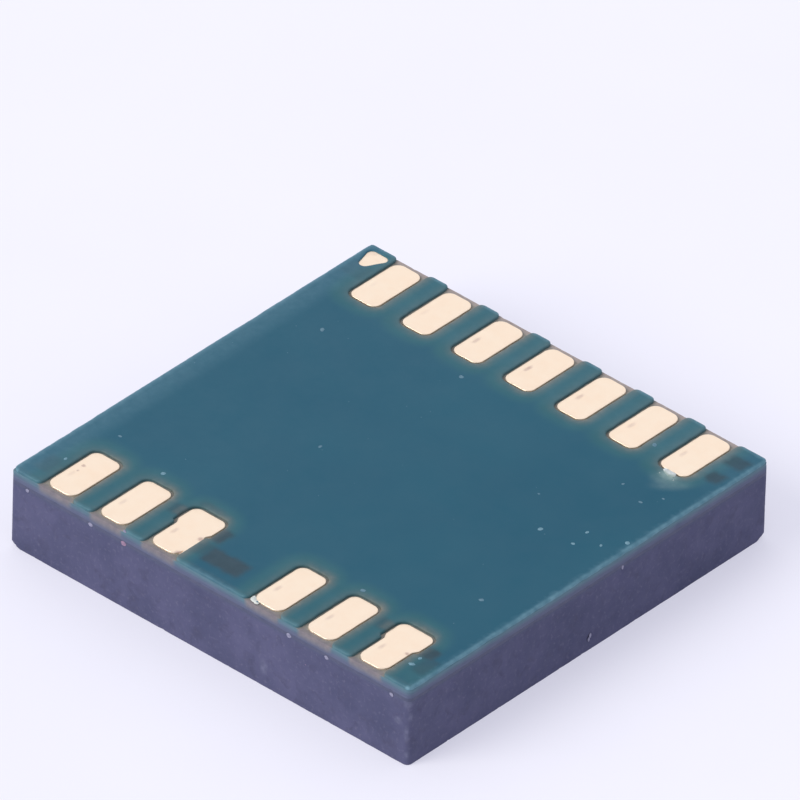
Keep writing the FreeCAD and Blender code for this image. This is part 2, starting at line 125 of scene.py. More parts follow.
def soft_patch(x, y, cx, cy, half_x, half_y, soft):
    """1 inside a rectangle, falling smoothly to 0 over the soft width round its sides."""
    return (blend(half_x + soft / 2 - abs(x - cx), 0, soft)
            * blend(half_y + soft / 2 - abs(y - cy), 0, soft))


def corner_rays(corners, i):
    """A corner, the directions to the ones before and after it, and half the angle there."""
    here = Vector(corners[i][:2])
    back = (Vector(corners[i - 1][:2]) - here).normalized()
    ahead = (Vector(corners[(i + 1) % len(corners)][:2]) - here).normalized()
    return here, back, ahead, back.angle(ahead) / 2


def outline(corners, step):
    """Closed line round (x, y, radius) corners, with points about a step apart."""
    arcs = []
    for i, (_, _, radius) in enumerate(corners):
        here, back, ahead, half = corner_rays(corners, i)
        centre = here + (back + ahead).normalized() * radius / math.sin(half)
        start = here + back * radius / math.tan(half) - centre
        end = here + ahead * radius / math.tan(half) - centre
        turn = start.angle_signed(end)
        count = max(2, math.ceil(abs(turn) * radius / step))
        first = math.atan2(start.y, start.x)
        for k in range(count + 1):
            angle = first - turn * k / count
            arcs.append(centre + Vector((math.cos(angle), math.sin(angle))) * radius)
    points = []
    for i, here in enumerate(arcs):
        ahead = arcs[(i + 1) % len(arcs)]
        count = max(1, math.ceil((ahead - here).length / step))
        points += [here.lerp(ahead, k / count) for k in range(count)]
    return np.array(points)


def spread_corners(centres, radius):
    """Corners of the outline at a radius round each of three centres."""
    found = []
    for i in range(len(centres)):
        here, back, ahead, half = corner_rays(centres, i)
        corner = here - (back + ahead).normalized() * radius / math.sin(half)
        found.append((*corner, radius))
    return found


def inward(loop):
    """Unit normals of a loop, towards its left, where the material is."""
    along = np.roll(loop, -1, 0) - np.roll(loop, 1, 0)
    left = np.stack([-along[:, 1], along[:, 0]], 1)
    return left / np.linalg.norm(left, axis=1)[:, None]


def inside(points, loops):
    """Which of the points lie in the material between the loops."""
    px, py = points[:, 0], points[:, 1]
    held = np.zeros(len(points), bool)
    for loop in loops:
        for (x1, y1), (x2, y2) in zip(loop, np.roll(loop, -1, 0)):
            if y1 != y2:
                crossing = (y1 > py) != (y2 > py)
                held ^= crossing & (px < x1 + (py - y1) * (x2 - x1) / (y2 - y1))
    return held


def grid_points(loops, pitch):
    """Scattered grid inside the loops, clear of their points."""
    edge = np.concatenate(loops)
    tree = kdtree.KDTree(len(edge))
    for i, (x, y) in enumerate(edge):
        tree.insert((x, y, 0), i)
    tree.balance()
    low, high = edge.min(0), edge.max(0)
    found = []
    for x in np.arange(low[0] + pitch / 2, high[0], pitch):
        for y in np.arange(low[1] + pitch / 2, high[1], pitch):
            at = (x + rng.uniform(-0.2, 0.2) * pitch, y + rng.uniform(-0.2, 0.2) * pitch)
            if tree.find((*at, 0))[2] > 0.55 * pitch:
                found.append(at)
    found = np.array(found).reshape(-1, 2)
    return found[inside(found, loops)]


def fill(loops, pitch=None):
    """Points added at a pitch inside the loops, and the triangles over them all, facing up."""
    links, start = [], 0
    for loop in loops:
        count = len(loop)
        links += [(start + i, start + (i + 1) % count) for i in range(count)]
        start += count
    added = grid_points(loops, pitch) if pitch else np.empty((0, 2))
    flat = np.concatenate([*loops, added])
    result = delaunay_2d_cdt([Vector(p) for p in flat], links, [], 0, SAME_POINT)
    triangles, origins = result[2], result[3]
    number = [origin[0] if origin else -1 for origin in origins]
    corners = np.array([[number[i] for i in t] for t in triangles])
    corners = corners[(corners >= 0).all(1)]
    corners = corners[inside(flat[corners].mean(1), loops)]
    a, b, c = (flat[corners[:, k]] for k in range(3))
    area = (b[:, 0] - a[:, 0]) * (c[:, 1] - a[:, 1]) - (b[:, 1] - a[:, 1]) * (c[:, 0] - a[:, 0])
    corners[area < 0] = corners[area < 0][:, ::-1]
    return added, corners[np.abs(area) > NO_AREA]


class Solid:
    """Points and faces that are gathered for one mesh."""

    def __init__(self):
        self.points = np.empty((0, 3))
        self.faces = []

    def add(self, points, faces):
        start = len(self.points)
        self.points = np.concatenate([self.points, points])
        self.faces += [tuple(start + i for i in face) for face in faces]

    def add_rings(self, rings):
        """Closed rings of equally many points, joined each to the next."""
        count = len(rings[0])
        faces = []
        for r in range(len(rings) - 1):
            for i in range(count):
                j = (i + 1) % count
                low, high = r * count, (r + 1) * count
                faces.append((low + i, low + j, high + j, high + i))
        self.add(np.concatenate(rings), faces)

    def add_cad(self, node, keep):
        """The faces of a CAD node that pass a test of their corners."""
        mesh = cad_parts[node].data
        points = np.array([v.co for v in mesh.vertices]) / MM
        faces = [tuple(p.vertices) for p in mesh.polygons if keep(points[list(p.vertices)])]
        self.add(points, faces)

    def welded(self):
        """Points and faces with equal points joined and empty faces left out."""
        used = sorted({i for face in self.faces for i in face})
        keys = np.round(self.points[used], 5)
        _, first, shared = np.unique(keys, axis=0, return_index=True, return_inverse=True)
        number = dict(zip(used, shared.reshape(-1).tolist()))
        faces = []
        for face in self.faces:
            ring = [number[i] for i in face]
            ring = [v for k, v in enumerate(ring) if v != ring[k - 1]]
            if len(ring) > 2 and len(set(ring)) == len(ring):
                faces.append(ring)
        return self.points[used][first], faces


def make_piece(name, solid, material, tints=None, crease=40, replaces=None):
    """Blender object of a solid, with a value for each point under each name in tints."""
    points, faces = solid.welded()
    mesh = bpy.data.meshes.new(name)
    mesh.from_pydata((points * MM).tolist(), [], faces)
    for tint, rule in (tints or {}).items():
        values = [rule(*point) for point in points]
        mesh.attributes.new(tint, "FLOAT", "POINT").data.foreach_set("value", values)
    mesh.shade_smooth()
    mesh.set_sharp_from_angle(angle=math.radians(crease))
    mesh.materials.append(material)
    piece = bpy.data.objects.new(name, mesh)
    bpy.context.scene.collection.objects.link(piece)
    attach(piece, "root")
    if replaces:
        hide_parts(replaces)


def edge_wear(x, y):
    """Edges are worn twice as far along the sides of the package, save the far one."""
    return 1 + blend(max(abs(x), -y), HALF - 0.02, HALF - 0.005)


def add_plate(solid, loops, low, level, rows, pitch):
    """Closed plate over the loops. Its worn edge has rows of (inset, drop below the level)."""
    tops = []
    for loop in loops:
        normals = inward(loop)
        wear = np.array([edge_wear(x, y) for x, y in loop])
        rings = [np.column_stack([loop, np.full(len(loop), low)])]
        for inset, drop in rows:
            flat = loop + normals * (inset * wear)[:, None]
            height = [level(x, y) - drop * w for (x, y), w in zip(flat, wear)]
            rings.append(np.column_stack([flat, height]))
        solid.add_rings(rings)
        tops.append(rings[-1])
    added, corners = fill([ring[:, :2] for ring in tops], pitch)
    heights = [level(x, y) for x, y in added]
    solid.add(np.concatenate([*tops, np.column_stack([added, heights])]), corners.tolist())
    _, corners = fill(loops)
    base = np.concatenate(loops)
    solid.add(np.column_stack([base, np.full(len(base), low)]), corners[:, ::-1].tolist())


# Materials

class Shader:
    """Node material with short calls for the nodes that it is built of."""

    def __init__(self, name):
        self.material = bpy.data.materials.new(name)
        self.material.use_nodes = True
        self.tree = self.material.node_tree
        self.surface = self.tree.nodes["Principled BSDF"]
        self.place = self.node("TexCoord").outputs["Object"]

    def node(self, kind, sockets=None, **settings):
        """New node of a kind, with its settings and the values of its sockets."""
        node = self.tree.nodes.new("ShaderNode" + kind)
        for name, value in settings.items():
            setattr(node, name, value)
        for name, value in (sockets or {}).items():
            node.inputs[name].default_value = value
        return node

    def join(self, source, target):
        self.tree.links.new(source, target)

    def stretched(self, scale):
        """Place on the object, scaled by axis."""
        mapping = self.node("Mapping", {"Scale": scale})
        self.join(self.place, mapping.inputs["Vector"])
        return mapping.outputs["Vector"]

    def noise(self, scale, detail=3.0, distortion=0.0, place=None):
        """Noise with features about 1 / scale millimetres wide."""
        node = self.node("TexNoise", {"Scale": scale / MM, "Detail": detail,
                                      "Roughness": 0.55, "Distortion": distortion})
        self.join(place or self.place, node.inputs["Vector"])
        return node.outputs["Fac"]

    def tint(self, name):
        """Value that the mesh carries at each point."""
        return self.node("Attribute", attribute_name=name).outputs["Fac"]

    def tones(self, source, low, high, width=0.2):
        """Two tones that change over a width to each side of the middle of a noise."""
        node = self.node("ValToRGB")
        ends = node.color_ramp.elements
        for end, place, colour in [(ends[0], 0.5 - width, low), (ends[1], 0.5 + width, high)]:
            end.position = place
            end.color = (*colour, 1)
        self.join(source, node.inputs["Fac"])
        return node.outputs["Color"]

    def spread(self, source, low, high, to_low, to_high):
        node = self.node("MapRange", {"From Min": low, "From Max": high,
                                      "To Min": to_low, "To Max": to_high})
        self.join(source, node.inputs["Value"])
        return node.outputs["Result"]

    def gloss(self, scale, low, high, detail=3.0):
        """Roughness that a noise leads from one value to another."""
        return self.spread(self.noise(scale, detail), 0.3, 0.7, low, high)

    def mix(self, share, first, second):
        node = self.node("Mix", data_type="RGBA")
        self.join(share, node.inputs["Factor"])
        self.join(first, node.inputs["A"])
        self.join(second, node.inputs["B"])
        return node.outputs["Result"]

    def finish(self, colour, rough, bumps=(), metallic=0.0, specular=0.5):
        """Links the colour, roughness and the (height, distance in mm, strength) bumps."""
        self.join(colour, self.surface.inputs["Base Color"])
        self.join(rough, self.surface.inputs["Roughness"])
        self.surface.inputs["Metallic"].default_value = metallic
        self.surface.inputs["Specular IOR Level"].default_value = specular
        normal = None
        for height, distance, strength in bumps:
            node = self.node("Bump", {"Distance": distance * MM, "Strength": strength})
            self.join(height, node.inputs["Height"])
            if normal:
                self.join(normal, node.inputs["Normal"])
            normal = node.outputs["Normal"]
        if normal:
            self.join(normal, self.surface.inputs["Normal"])
        return self.material

    def show_white(self, colour):
        """Half of what the camera sees of the surface, itself or in a shiny one, is this colour,
        which leaves half of each shadow."""
        path, seen = self.node("LightPath"), None
        for ray in ("Is Camera Ray", "Is Glossy Ray", "Is Transmission Ray"):
            either = self.node("Math", operation="MAXIMUM")
            self.join(path.outputs[ray], either.inputs[0])
            if seen:
                self.join(seen, either.inputs[1])
            seen = either.outputs[0]
        share = self.node("Math", {1: 0.5}, operation="MULTIPLY")
        self.join(seen, share.inputs[0])
        glow = self.node("Emission")
        self.join(colour, glow.inputs["Color"])
        both = self.node("MixShader")
        self.join(share.outputs[0], both.inputs[0])
        self.join(self.surface.outputs["BSDF"], both.inputs[1])
        self.join(glow.outputs["Emission"], both.inputs[2])
        self.join(both.outputs["Shader"], self.tree.nodes["Material Output"].inputs["Surface"])


def mask_material():
    """Matt teal solder mask, greener beside the lands, paler where the saw cut it."""
    s = Shader("solder_mask_teal")
    colour = s.tones(s.noise(0.7, detail=2), (0.002, 0.080, 0.131), (0.005, 0.088, 0.138), 0.15)
    for tint, scale, low, high in [
            ("green", 6, (0.014, 0.104, 0.126), (0.022, 0.118, 0.144)),
            ("stain", 9, (0.018, 0.045, 0.062), (0.026, 0.059, 0.079)),
            # lip: brownish thin mask at a window, with painted light on its right side and painted
            # shade on its left
            ("lip_and_side_shade", 16, (0.130, 0.146, 0.126), (0.190, 0.188, 0.160)),
            ("haze", 12, (0.190, 0.290, 0.285), (0.310, 0.420, 0.395)),
            ("sawn", 14, (0.100, 0.222, 0.282), (0.150, 0.296, 0.364))]:
        colour = s.mix(s.tint(tint), colour, s.tones(s.noise(scale), low, high))
    bumps = [(s.noise(9, detail=4), 0.0010, 0.5), (s.noise(60, detail=2), 0.0004, 0.4)]
    return s.finish(colour, s.gloss(3, 0.42, 0.52), bumps, specular=0.25)


def mould_material():
    """Blue-black moulding compound with fine pale filler grains."""
    s = Shader("mould_compound_grain")
    base = s.tones(s.noise(2.2, detail=5), (0.064, 0.068, 0.134), (0.092, 0.092, 0.174), 0.18)
    grains = s.tones(s.noise(30), (0.110, 0.108, 0.180), (0.145, 0.140, 0.222), 0.25)
    dark = s.tones(s.noise(10), (0.052, 0.052, 0.100), (0.066, 0.066, 0.122))
    upper = s.tones(s.noise(18), (0.068, 0.078, 0.140), (0.088, 0.096, 0.168))
    # pale rubs, and painted highlight down the vertical corners
    smear_and_highlight = s.tones(s.noise(18), (0.105, 0.110, 0.180), (0.185, 0.190, 0.285))
    spots = s.spread(s.noise(24, detail=2), 0.56, 0.74, 0.0, 0.6)
    hollows = s.spread(s.noise(9, detail=4, distortion=0.8), 0.46, 0.26, 0.0, 0.6)
    colour = s.mix(spots, base, grains)
    colour = s.mix(hollows, colour, dark)
    colour = s.mix(s.tint("upper"), colour, upper)
    colour = s.mix(s.tint("smear_and_highlight"), colour, smear_and_highlight)
    bumps = [(s.noise(11, detail=4), 0.004, 0.4), (s.noise(45), 0.0016, 0.5)]
    return s.finish(colour, s.gloss(8, 0.62, 0.78), bumps, specular=0.25)


def laminate_material():
    """Resin and glass, blue-grey where it is sawn and tan on its bare face."""
    s = Shader("laminate_glass_resin")
    strands = s.noise(5, detail=4, place=s.stretched((1, 1, 9)))
    low = s.tones(strands, (0.082, 0.098, 0.168), (0.106, 0.122, 0.198))
    high = s.tones(strands, (0.078, 0.158, 0.200), (0.102, 0.194, 0.240))
    bare = s.tones(s.noise(14), (0.200, 0.188, 0.162), (0.295, 0.276, 0.236))
    sunny = s.tones(s.noise(16), (0.330, 0.270, 0.250), (0.420, 0.350, 0.320))
    rosy = s.tones(s.noise(16), (0.165, 0.150, 0.170), (0.230, 0.200, 0.205))
    colour = s.mix(s.tint("height"), low, high)
    colour = s.mix(s.tint("face"), colour, bare)
    colour = s.mix(s.tint("mouth"), colour, s.mix(s.tint("far"), rosy, sunny))
    bumps = [(s.noise(16, place=s.stretched((1, 1, 4))), 0.003, 0.5)]
    return s.finish(colour, s.gloss(6, 0.55, 0.7), bumps, specular=0.3)


def inner_mask_material():
    """The mask on the die side of the laminate, greyed by the saw."""
    s = Shader("solder_mask_inner")
    colour = s.tones(s.noise(8), (0.064, 0.073, 0.130), (0.086, 0.092, 0.155))
    bumps = [(s.noise(20), 0.002, 0.5)]
    return s.finish(colour, s.gloss(6, 0.5, 0.62), bumps, specular=0.3)


def gold_material():
    """Immersion gold with a satin grain, duller where a probe has touched it."""
    s = Shader("plated_gold_satin")
    tone = s.tones(s.noise(4, detail=4), (1.000, 0.812, 0.618), (1.000, 0.836, 0.650))
    worn_tone = s.tones(s.noise(25), (0.560, 0.400, 0.320), (0.720, 0.540, 0.440))
    colour = s.mix(s.tint("mark"), tone, worn_tone)
    bumps = [(s.noise(22, detail=4), 0.0008, 0.5), (s.noise(70, detail=2), 0.0003, 0.5)]
    return s.finish(colour, s.gloss(10, 0.38, 0.50, detail=4), bumps, metallic=1.0)


def residue_material():
    """White film that thins out to a greenish haze."""
    s = Shader("residue_film_white")
    thick = s.tones(s.noise(20), (0.480, 0.520, 0.500), (0.760, 0.800, 0.780))
    thin = s.tones(s.noise(20), (0.150, 0.240, 0.220), (0.300, 0.380, 0.340))
    colour = s.mix(s.tint("thin"), thick, thin)
    return s.finish(colour, s.gloss(30, 0.6, 0.75), [(s.noise(30), 0.001, 0.5)])


def plain_material(name, low, high, scale, rough, metallic=0.0):
    """Two near tones, a little uneven in gloss and level."""
    s = Shader(name)
    colour = s.tones(s.noise(scale), low, high)
    gloss = s.gloss(scale * 2, rough, rough + 0.1)
    return s.finish(colour, gloss, [(s.noise(scale * 3), 0.001, 0.5)], metallic)


mask_teal = mask_material()
mould_grain = mould_material()
laminate_side = laminate_material()
inner_mask = inner_mask_material()
gold = gold_material()
residue = residue_material()
inner_copper = plain_material("copper_buried", (0.80, 0.42, 0.26), (0.88, 0.50, 0.32), 12, 0.35,
                              metallic=1.0)
silicon = plain_material("silicon_polished", (0.10, 0.10, 0.12), (0.14, 0.14, 0.16), 3, 0.15,
                         metallic=0.3)
glue = plain_material("die_attach_epoxy", (0.42, 0.41, 0.40), (0.55, 0.54, 0.52), 18, 0.5)
wire_gold = plain_material("bond_wire_gold", (0.95, 0.66, 0.30), (1.0, 0.74, 0.38), 20, 0.25,
                           metallic=1.0)
dust = plain_material("dust_pale", (0.10, 0.22, 0.28), (0.19, 0.34, 0.41), 40, 0.7)
dust_faint = plain_material("dust_faint", (0.07, 0.17, 0.23), (0.13, 0.24, 0.30), 40, 0.6)
flake = plain_material("flake_glass", (0.19, 0.19, 0.28), (0.31, 0.30, 0.41), 40, 0.7)
flake_rosy = plain_material("flake_rosy", (0.22, 0.14, 0.22), (0.34, 0.21, 0.30), 40, 0.5)
crumb = plain_material("residue_crumb", (0.54, 0.57, 0.53), (0.76, 0.78, 0.72), 30, 0.7)


# Solder mask

MASK_STEP, MASK_GRID = 0.022, 0.031           # points along its outline and inside it
MASK_EDGE = [             # inset, drop
    (0.0, 0.0100), (0.0018, 0.0060), (0.0060, 0.0028), (0.0115, 0.0009), (0.0180, 0.0),
]
MASK_CORNER, LEFT_CORNER = 0.05, 0.08         # corners of the package, the near left one rounder
DARK_PATCHES = [          # x, y, half sizes, strength: traces that show dark through the mask
    (2.330, 2.255, 0.115, 0.085, 0.75),
    (2.330, 1.935, 0.085, 0.080, 0.85),
    (2.268, -1.965, 0.085, 0.085, 0.90),
    (2.364, -2.140, 0.080, 0.130, 0.45),
    (-2.295, -2.208, 0.080, 0.130, 0.45),
    (-0.050, -2.226, 0.225, 0.115, 0.95),
    (-0.330, -2.200, 0.100, 0.100, 0.45),
    (-0.375, -1.945, 0.090, 0.110, 0.95),
    (-0.940, -1.907, 0.075, 0.080, 0.60),
    (1.643, -1.904, 0.075, 0.080, 0.50),
    (-2.309, 2.076, 0.120, 0.110, 0.30),
    (-0.712, -1.668, 0.130, 0.030, 0.35),
]
BROWN_PATCHES = [         # x, y, half sizes: brown tinge at the left of the ears
    (-0.900, -1.905, 0.050, 0.075), (1.695, -1.905, 0.050, 0.075),
]
RAISED = [                # x, y, half sizes: copper under the mask lifts it
    (-0.15, -2.22, 0.30, 0.14),
    (-0.65, -1.89, 0.36, 0.08),
    (1.95, -1.89, 0.36, 0.08),
]
FILM_SPOT = (1.975, 1.67, 0.10, 0.07)         # x, y, half sizes: mask below the film of residue
HAZE_CORE = (1.99, 1.66, 0.10, 0.075)
HAZE_HALO = (2.02, 1.60, 0.17, 0.14)
HAZE_TRAIL = (0.55, 3.68, 0.13, 0.30)         # x - y, x + y, half sizes
GREEN_CORNER = (2.42, -2.28, 0.22, 0.26)
LIP_WIDTH, GREEN_WIDTH = 0.12, 0.24           # how far the tinges reach from a window
SAWN_WIDTH, SAWN_FULL = 0.052, 0.008          # where the whitening begins and is full


def mask_level(x, y):
    """Level of the mask, lifted by copper and sunk below the film of residue."""
    lift = max(soft_patch(x, y, *patch, 0.05) for patch in RAISED)
    swell = 0.0011 * ripple(x, y, 0, 0.9) + 0.0005 * ripple(x, y, 0, 5, 3.1)
    under_film = blend(1.5 - reach(x, y, *FILM_SPOT), 0, 0.5)
    return MASK_LEVEL + 0.0016 * lift + swell - 0.0030 * under_film


def window_side(x, y):
    """How far a point lies to the right of the middle of the nearest window."""
    places = INPUT_LANDS.values() if y > 0 else OUTPUT_LANDS.values()
    return min((x - place * PITCH for place in places), key=abs)


def window_gap(x, y):
    """Distance from a point of the mask to the nearest window."""
    across = abs(window_side(x, y)) - WINDOW_HALF + WINDOW_RADIUS
    along = WINDOW_INNER + WINDOW_RADIUS - abs(y)
    if across > 0 and along > 0:
        return max(0.0, math.hypot(across, along) - WINDOW_RADIUS)
    return max(0.0, across - WINDOW_RADIUS, along - WINDOW_RADIUS)


def mask_stain(x, y, z):
    """Dark where copper or a trace lies below the mask."""
    ragged = 0.02 * ripple(x, y, 0, 14, 2.0)
    return max(strength * soft_patch(x + ragged, y + ragged, cx, cy, half_x, half_y, 0.07)
               for cx, cy, half_x, half_y, strength in DARK_PATCHES)


def mask_lip_and_side_shade(x, y, z):
    """Thin and brownish where the mask runs out at a window, paler on the window's right side as
    painted light and darker on its left as painted shade.
    """
    near = max(0.0, 1 - window_gap(x, y) / LIP_WIDTH)
    # painted light and shade: the tint is strongest on the lit right side of a window and faintest
    # on its shaded left side
    lit_side_lean = min(1.0, max(-1.0, window_side(x, y) / WINDOW_HALF))
    uneven = 0.85 + 0.35 * ripple(x, y, 0, 7) + 0.2 * ripple(x, y, 0, 20)
    by_ears = max(soft_patch(x, y, *patch, 0.06) for patch in BROWN_PATCHES)
    rim = blend(-y, HALF - 0.08, HALF - 0.03)
    return max((0.72 + 0.38 * lit_side_lean) * near ** 1.6 * uneven, 0.13 * rim, 0.38 * by_ears)


def mask_green(x, y, z):
    """Greener round the windows and in the corner beside land 8."""
    by_window = blend(GREEN_WIDTH - window_gap(x, y), 0, 0.14)
    by_corner = 0.9 * blend(1.2 - reach(x, y, *GREEN_CORNER), 0, 0.8)
    return min(1.0, max(by_window, by_corner) * (0.85 + 0.15 * ripple(x, y, 0, 5)))


def mask_haze(x, y, z):
    """Pale residue that has run out from the inner end of land 7."""
    core = 0.9 * blend(1.4 - reach(x, y, *HAZE_CORE), 0, 1.0)
    halo = 0.40 * blend(1.3 - reach(x, y, *HAZE_HALO), 0, 1.2)
    trail = 0.30 * blend(1.3 - reach(x - y, x + y, *HAZE_TRAIL), 0, 1.2)
    return max(core, halo, trail) * (0.8 + 0.2 * ripple(x, y, 0, 20))


def mask_sawn(x, y, z):
    """Whitened along the sawn sides, and paler towards the left side and the far row."""
    uneven = 0.006 * ripple(x, y, 0, 7, 5.0) + 0.008 * ripple(x, y, 0, 22, 5.0)
    rim = HALF - 0.07
    share = 0.95 if abs(x) > rim else 0.35 if y < -rim else 0.75
    cut = share * blend(max(abs(x), abs(y)) + uneven, HALF - SAWN_WIDTH, HALF - SAWN_FULL)
    cut *= 0.9 + 0.3 * ripple(x, y, 0, 13, 6.0)
    left = max(0.26 * blend(-x, 2.10, 2.40), 0.55 * blend(-x, 2.40, 2.48),
               0.05 * blend(-x, -2.0, 2.0))
    far_row = 0.11 * blend(y, 1.60, 1.95) * (1 - mask_stain(x, y, z))
    return max(cut, left, far_row)


def window_notches(side):
    """Corners of the mask along one row, from left to right. It is wider round an ear."""
    lands = INPUT_LANDS if side > 0 else OUTPUT_LANDS
    corners = []
    for number, place in sorted(lands.items(), key=lambda item: item[1]):
        x, inner, end = place * PITCH, side * WINDOW_INNER, side * EAR_END
        notch = [(-WINDOW_HALF, side * HALF, FINGER_RADIUS)]
        if number in EARED_LANDS:
            notch += [(-WINDOW_HALF, end, EAR_CORNER), (-EAR_WINDOW, end, EAR_CORNER),
                      (-EAR_WINDOW, inner, WINDOW_RADIUS)]
        else:
            notch += [(-WINDOW_HALF, inner, WINDOW_RADIUS)]
        corners += [(x + dx, y, r) for dx, y, r in notch]
        corners += [(x - dx, y, r) for dx, y, r in reversed(notch)]
    return corners


def worn(loop, amount, seed):
    """Loop with small bites into the material, most at the ends of the mask fingers and fewest
    along the far side."""
    normals = inward(loop)
    bites = []
    for x, y in loop:
        fine = 0.5 + 0.5 * ripple(x, y, 0, 26, seed)
        broad = max(0.0, ripple(x, y, 0, 7, seed + 4))
        finger_end = 1 + 1.2 * blend(abs(y), HALF - 0.06, HALF - 0.03)
        share = 0.3 if y > HALF - 0.03 else 1.0
        bites.append(amount * share * (0.45 * fine * finger_end + broad))
    return loop + normals * np.array(bites)[:, None]


def make_mask():
    corners = [(-HALF, -HALF, LEFT_CORNER), *window_notches(-1), (HALF, -HALF, MASK_CORNER),
               (HALF, HALF, MASK_CORNER), *reversed(window_notches(1)),
               (-HALF, HALF, MASK_CORNER)]
    package = worn(outline(corners, MASK_STEP), amount=0.009, seed=1.0)
    window = outline(spread_corners(MARKER, MARKER_WINDOW), step=0.015)[::-1]
    window = worn(window, amount=0.006, seed=2.0)
    solid = Solid()
    add_plate(solid, [package, window], CORE_TOP, mask_level, MASK_EDGE, MASK_GRID)
    tints = {"stain": mask_stain, "green": mask_green, "haze": mask_haze, "sawn": mask_sawn,
             "lip_and_side_shade": mask_lip_and_side_shade}
    make_piece("mask_sheet", solid, mask_teal, tints, replaces="outer_solder_mask")


# Lands

LAND_STEP, LAND_GRID = 0.014, 0.018
LAND_EDGE = [             # inset, drop
    (0.0, 0.0050), (0.0015, 0.0026), (0.0045, 0.0009), (0.0090, 0.0),
]
MARKER_STEP, MARKER_GRID = 0.012, 0.020
MARKER_EDGE = [(0.0, 0.0070), (0.003, 0.0035), (0.009, 0.0010), (0.016, 0.0)]
PROBE_MARK = (-0.095, -0.07, 0.020, 0.050)     # place on a land as seen, and its half sizes
MARK_SHARES = {1: 0.10, 2: 0.15, 3: 0.60, 4: 0.80, 5: 0.55, 12: 0.30, 13: 0.20}   # strength
USUAL_SHARE = 0.38        # on the other lands
EXTRA_MARKS = {
    13: [(-0.095, 0.095, 0.020, 0.018), (-0.085, 0.0, 0.012, 0.014)],
    11: [(0.175, 0.0, 0.030, 0.028), (0.168, -0.300, 0.034, 0.030)],
    8: [(0.150, 0.005, 0.02, 0.02)],
}


def land_loop(number):
    """Outline of a land about its middle, drawn as an output land with its inner end up."""
    half, outer, inner = LAND_WIDTH / 2, -LAND_LENGTH / 2, LAND_LENGTH / 2 + LAND_EXTRA
    corners = [(-half, outer, OUTER_RADIUS), (half, outer, OUTER_RADIUS)]
    if number == TRACE_LAND:
        corners += TRACE
    if number in EARED_LANDS:
        step = inner - EAR_LENGTH
        shoulder = [(half, step - EAR_SLANT, EAR_RADIUS), (EAR_HALF, step + EAR_SLANT, EAR_RADIUS),
                    (EAR_HALF, inner, INNER_RADIUS)]
        corners += shoulder + [(-x, y, r) for x, y, r in reversed(shoulder)]
    else:
        corners += [(half, inner, INNER_RADIUS), (-half, inner, INNER_RADIUS)]
    if number in INPUT_LANDS:
        corners = [(-x, -y, r) for x, y, r in corners]
    return outline(corners, LAND_STEP)


def make_land(number):
    """Dished land with its probe marks, on the via and bond finger of the CAD node."""
    x0, y0 = LANDS[number] * PITCH, ROW_Y if number in INPUT_LANDS else -ROW_Y
    seed = number * 1.7
    loop = land_loop(number)
    wobble = [0.0016 * ripple(x, y, 0, 12, seed) - 0.0030 for x, y in loop]
    loop = loop - inward(loop) * np.array(wobble)[:, None]
    marks = [(*PROBE_MARK, MARK_SHARES.get(number, USUAL_SHARE))]
    marks += [(*spot, 1.0) for spot in EXTRA_MARKS.get(number, [])]

    def mark(x, y, z):
        if z <= COPPER_TOP - 0.006:
            return 0.0
        return max(strength * blend(1.5 - reach(x - x0, y - y0, *spot), 0, 1.0)
                   for *spot, strength in marks)

    def level(x, y):
        across = min(1.0, abs(x) / (LAND_WIDTH / 2)) ** 2
        along = min(1.0, abs(y) / (LAND_LENGTH / 2)) ** 4
        dip = 0.0012 * mark(x + x0, y + y0, COPPER_TOP)
        wave = 0.0005 * ripple(x, y, 0, 6, seed)
        return COPPER_TOP - 0.0006 - 0.0014 * across - 0.0010 * along - dip + wave

    def below(corners):
        heights = corners[:, 2]
        return heights.max() < CORE_TOP + FLUSH and heights.min() < CORE_TOP - FLUSH

    solid = Solid()
    add_plate(solid, [loop], CORE_TOP, level, LAND_EDGE, LAND_GRID)
    solid.points[:, :2] += (x0, y0)
    node = f"terminal_{number:02d}"
    solid.add_cad(node, below)
    make_piece(f"land_{number:02d}", solid, gold, {"mark": mark}, crease=50,
               replaces=node)


def make_marker():
    """Small plated triangle in the corner beside land 1."""
    def level(x, y):
        return COPPER_TOP - 0.0010 + 0.0008 * ripple(x, y, 0, 9, 7.0)

    def mark(x, y, z):
        return 0.25 * blend(ripple(x, y, 0, 14), 0.2, 0.6)

    loop = outline(spread_corners(MARKER, MARKER_RADIUS), MARKER_STEP)
    solid = Solid()
    add_plate(solid, [loop], CORE_TOP, level, MARKER_EDGE, MARKER_GRID)
    make_piece("marker_triangle", solid, gold, {"mark": mark}, crease=50,
               replaces="pin_one_marker")


# Laminate and mould

FLANGE = 0.06             # width of the rebuilt rim on the upper and lower faces
SIDE_STEP = 0.022         # points along a side
BLUNT_CORNER = 0.045      # more than half the usual radius, at the near right corner
DENTS = [                 # side, place along it, height, radius, depth
    ("near", -2.302, 0.715, 0.045, 0.010), ("near", -1.504, 0.715, 0.045, 0.010),
    ("near", -1.088, 0.712, 0.055, 0.010), ("near", 0.988, 0.715, 0.050, 0.010),
    ("near", 1.461, 0.712, 0.040, 0.010), ("near", 2.271, 0.708, 0.045, 0.010),
    ("near", 0.686, 0.211, 0.070, 0.006), ("near", 1.887, 0.133, 0.110, 0.007),
    ("right", 0.026, 0.138, 0.065, 0.014), ("right", 0.465, 0.705, 0.040, 0.010),
    ("right", -0.300, 0.330, 0.070, 0.006), ("far", 0.600, 0.300, 0.060, 0.008),
    ("left", -0.900, 0.420, 0.050, 0.008), ("far", -1.700, 0.700, 0.050, 0.012),
]
CHIPS = [                 # lower corner of the package that is broken off, and how deep
    (-1, -1, 0.050), (1, 1, 0.052), (1, -1, 0.018), (-1, 1, 0.030),
]
CHIP_LEAN = (0.42, 0.42, -0.80)               # normal of the broken face
CHIP_REACH = 0.5
